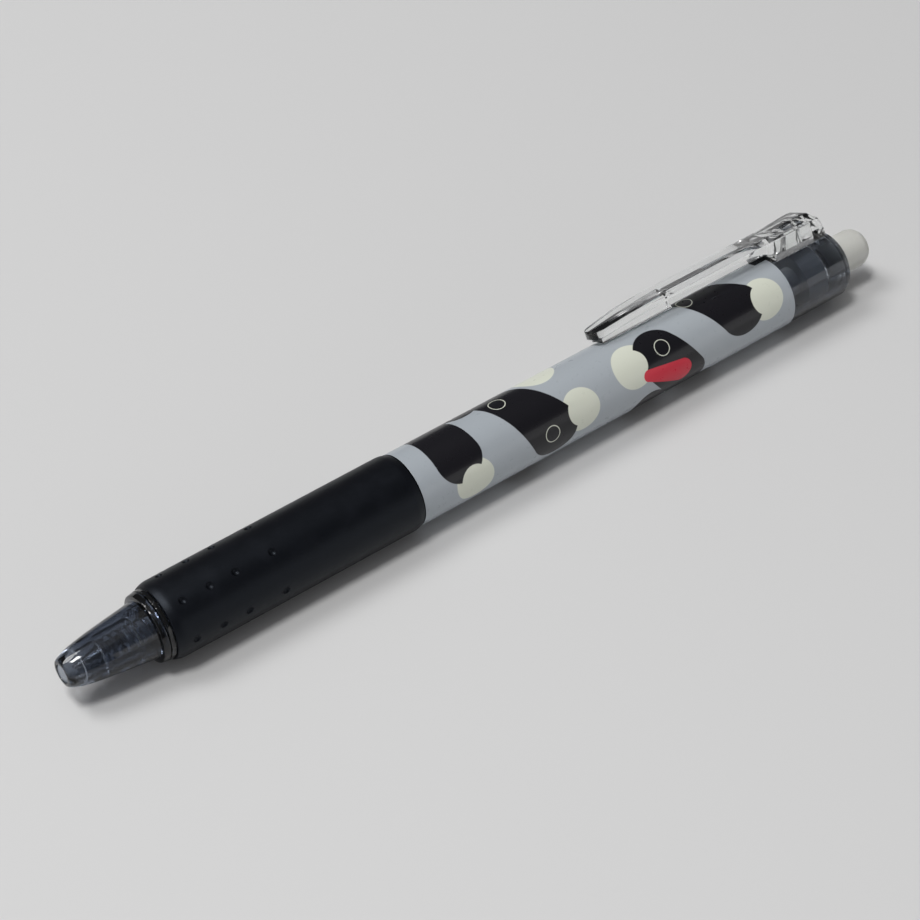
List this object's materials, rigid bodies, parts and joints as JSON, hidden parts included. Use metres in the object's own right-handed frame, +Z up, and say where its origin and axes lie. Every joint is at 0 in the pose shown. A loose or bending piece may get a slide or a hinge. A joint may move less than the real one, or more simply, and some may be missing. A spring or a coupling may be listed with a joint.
{
  "type": "gel pen",
  "caption": "Retractable gel pen lying on its side, with a rubber grip, a clear clip that is also the push button, and an eraser tail.",
  "frame": {"origin": "on the grip's lowest flat facet, half way along the grip, where the pen rests on a table", "axes": "+X along the pen from the writing tip to the eraser, +Z up from the table; the pen is rolled so that its clip leans 30 degrees from straight up towards +Y"},
  "size_m": [0.142, 0.0124, 0.0145],
  "materials": {
    "smoke_plastic": "polished translucent smoke-coloured plastic",
    "printed_barrel": "smoke plastic tube, printed over most of its length with a pebble pattern in black, cream and red on pale blue-grey",
    "grip_rubber": "soft matt black rubber with small round dimples",
    "clear_plastic": "polished crystal-clear plastic",
    "eraser_rubber": "translucent white rubber, slightly frosted",
    "spring_steel": "bright drawn spring wire",
    "nib_steel": "turned nickel silver, bright",
    "ball_carbide": "polished carbide ball",
    "refill_plastic": "milky translucent polypropylene",
    "moulded_acetal": "satin moulded acetal, off-white",
    "guide_acetal": "satin moulded acetal, grey",
    "gel_ink": "black gel ink",
    "follower_grease": "clear amber grease"
  },
  "bodies": {
    "barrel": {"barrel": "printed_barrel", "grip_sleeve": "grip_rubber", "cam_guide": "guide_acetal", "tail_plug": "clear_plastic", "eraser": "eraser_rubber", "return_spring": "spring_steel"},
    "cone": {"tip_cone": "smoke_plastic"},
    "knock": {"knock_cam": "moulded_acetal"},
    "clip": {"clip": "clear_plastic"},
    "rotor": {"rotor_cam": "moulded_acetal"},
    "refill": {"refill_tube": "refill_plastic", "ink_column": "gel_ink", "ink_follower": "follower_grease", "refill_end_plug": "moulded_acetal", "nib_holder": "moulded_acetal", "nib": "nib_steel", "nib_ball": "ball_carbide"}
  },
  "joints": [
    {"name": "clip_slide", "type": "slide", "parent": "barrel", "child": "knock", "axis": [-1, 0, 0], "range_m": [0, 0.006], "stiffness_N_per_m": 300},
    {"name": "clip_flex", "type": "hinge", "parent": "knock", "child": "clip", "pos_m": [0.0996, 0.0029, 0.01067], "axis": [0, 0.866, -0.5], "range_deg": [0, 3], "stiffness_Nm_per_rad": 1.5},
    {"name": "rotor_turn", "type": "hinge", "parent": "knock", "child": "rotor", "pos_m": [0.083, 0, 0.00565], "axis": [-1, 0, 0], "range_deg": [0, 45]},
    {"name": "refill_slide", "type": "slide", "parent": "barrel", "child": "refill", "axis": [-1, 0, 0], "range_m": [0, 0.006], "deforming": ["return_spring"]},
    {"name": "cone_off", "type": "slide", "parent": "barrel", "child": "cone", "axis": [-1, 0, 0], "range_m": [0, 0.0075]}
  ],
  "couplings": [
    {"joint": "refill_slide", "follows": "clip_slide", "ratio": 1},
    {"joint": "rotor_turn", "follows": "clip_slide", "rad_per_m": 130.9}
  ]
}
